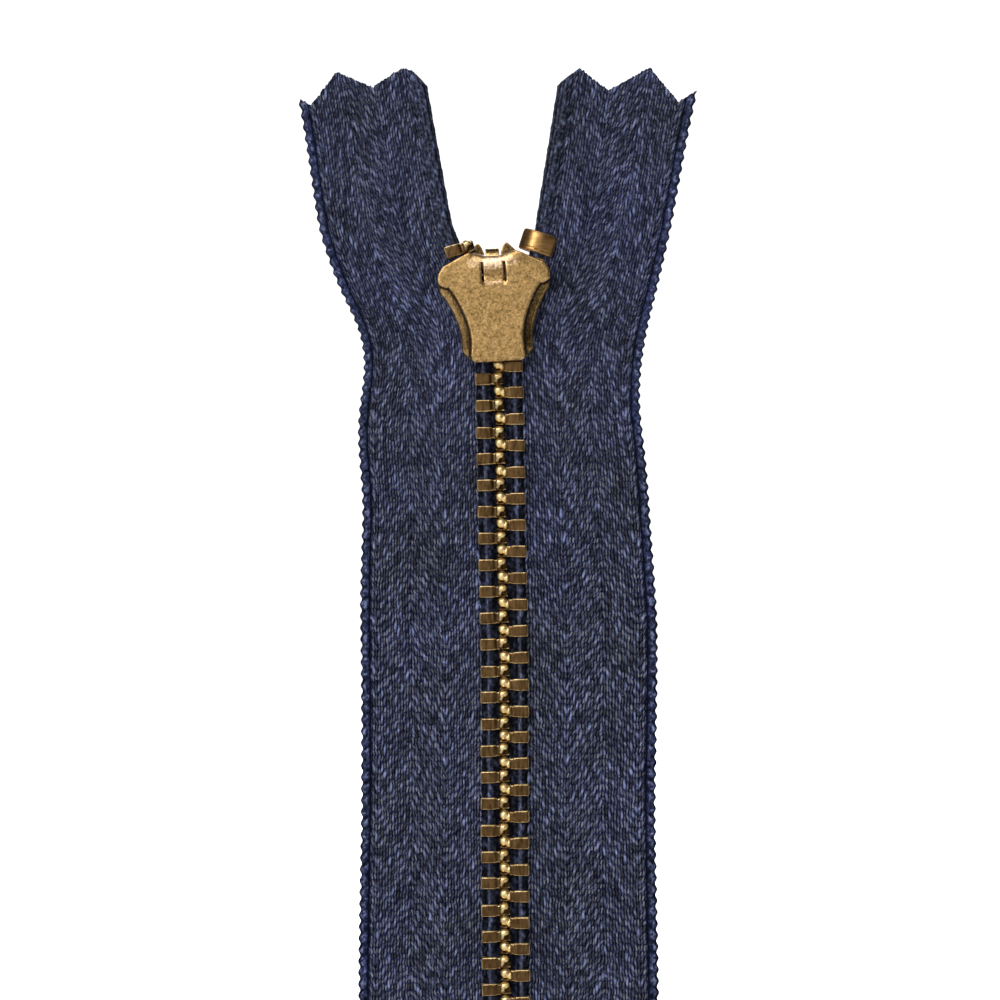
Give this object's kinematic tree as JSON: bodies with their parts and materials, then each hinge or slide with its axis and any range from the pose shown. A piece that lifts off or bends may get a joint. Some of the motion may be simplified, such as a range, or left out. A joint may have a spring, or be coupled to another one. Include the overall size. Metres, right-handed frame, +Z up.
{
  "type": "zipper",
  "caption": "Closed-end brass zipper: two navy cloth tapes with interlocking metal teeth, end stops, and an automatic-locking slider with a pull tab.",
  "frame": {"origin": "on the centre line of the chain, in the middle of the bottom stop at the closed end, where the zipper is stitched to the garment", "axes": "+Z up along the chain from the closed end to the open end, +X to the right, -Y towards the viewer, who looks at the slider's back plate; +Y is the side of the pull tab"},
  "size_m": [0.0392, 0.0069, 0.1343],
  "materials": {
    "tape_cloth": "navy herringbone-woven polyester tape, matt with a faint sheen on each float",
    "bead_cord": "navy twisted cord, matt",
    "tooth_brass": "antique brass, dark faces with rubbed bright edges",
    "slider_brass": "antique brass, satin with a fine grainy patina and rubbed edges",
    "stop_brass": "antique brass, drawn wire with fine lines",
    "pull_brass": "antique brass, satin",
    "pin_brass": "antique brass, satin",
    "pawl_steel": "spring steel"
  },
  "bodies": {
    "closed_end": {"bottom_stop": "stop_brass", "left_tape_foot": "tape_cloth", "left_bead_cord_foot": "bead_cord", "left_end_tooth": "tooth_brass", "right_tape_foot": "tape_cloth", "right_bead_cord_foot": "bead_cord", "right_end_tooth": "tooth_brass"},
    "left_stringer": {"left_tape_main": "tape_cloth", "left_teeth_row_1": "tooth_brass", "left_teeth_row_2": "tooth_brass", "left_teeth_row_3": "tooth_brass", "left_teeth_row_4": "tooth_brass", "left_teeth_row_5": "tooth_brass", "left_teeth_row_6": "tooth_brass"},
    "left_open_end": {"left_tape_top": "tape_cloth", "left_teeth_in_slider": "tooth_brass", "left_bead_cord_top": "bead_cord"},
    "right_stringer": {"right_tape_main": "tape_cloth", "right_teeth_row_1": "tooth_brass", "right_teeth_row_2": "tooth_brass", "right_teeth_row_3": "tooth_brass", "right_teeth_row_4": "tooth_brass", "right_teeth_row_5": "tooth_brass", "right_teeth_row_6": "tooth_brass"},
    "right_open_end": {"right_tape_top": "tape_cloth", "right_teeth_in_slider": "tooth_brass", "right_bead_cord_top": "bead_cord", "right_top_stop": "stop_brass"},
    "slider": {"slider_body": "slider_brass", "pull_pivot_pin": "pin_brass"},
    "pull": {"pull_tab": "pull_brass"},
    "pawl": {"lock_pawl": "pawl_steel"}
  },
  "joints": [
    {"name": "slider_travel", "type": "slide", "parent": "closed_end", "child": "slider", "axis": [0, 0, -1], "range_m": [0, 0.0882], "deforming": ["left_tape_main", "left_teeth_row_1", "left_teeth_row_2", "left_teeth_row_3", "left_teeth_row_4", "left_teeth_row_5", "left_teeth_row_6", "left_tape_top", "left_teeth_in_slider", "left_bead_cord_top", "right_tape_main", "right_teeth_row_1", "right_teeth_row_2", "right_teeth_row_3", "right_teeth_row_4", "right_teeth_row_5", "right_teeth_row_6", "right_tape_top", "right_teeth_in_slider", "right_bead_cord_top", "right_top_stop"]},
    {"name": "left_stringer_opens", "type": "hinge", "parent": "closed_end", "child": "left_stringer", "pos_m": [0, 0, 0.0036], "axis": [0, -1, 0], "range_deg": [0, 15]},
    {"name": "right_stringer_opens", "type": "hinge", "parent": "closed_end", "child": "right_stringer", "pos_m": [0, 0, 0.0036], "axis": [0, 1, 0], "range_deg": [0, 15]},
    {"name": "left_open_end_straightens", "type": "hinge", "parent": "left_stringer", "child": "left_open_end", "pos_m": [-0.0014, 0, 0.0915], "axis": [0, 1, 0], "range_deg": [0, 11]},
    {"name": "right_open_end_straightens", "type": "hinge", "parent": "right_stringer", "child": "right_open_end", "pos_m": [0.0014, 0, 0.0915], "axis": [0, -1, 0], "range_deg": [0, 11]},
    {"name": "pull_swing", "type": "hinge", "parent": "slider", "child": "pull", "pos_m": [-0.00037, 0.0037, 0.0996], "axis": [0.9996, 0, 0.027], "range_deg": [0, 170]},
    {"name": "pawl_lifts", "type": "hinge", "parent": "slider", "child": "pawl", "pos_m": [-0.00032, 0.00265, 0.0976], "axis": [0.9996, 0, 0.027], "range_deg": [0, 9]}
  ],
  "couplings": [
    {"joint": "left_stringer_opens", "follows": "slider_travel", "rad_per_m": 2.968},
    {"joint": "right_stringer_opens", "follows": "slider_travel", "rad_per_m": 2.968},
    {"joint": "left_open_end_straightens", "follows": "slider_travel", "rad_per_m": 2.176},
    {"joint": "right_open_end_straightens", "follows": "slider_travel", "rad_per_m": 2.176},
    {"joint": "pawl_lifts", "follows": "pull_swing", "ratio": 0.0529}
  ]
}
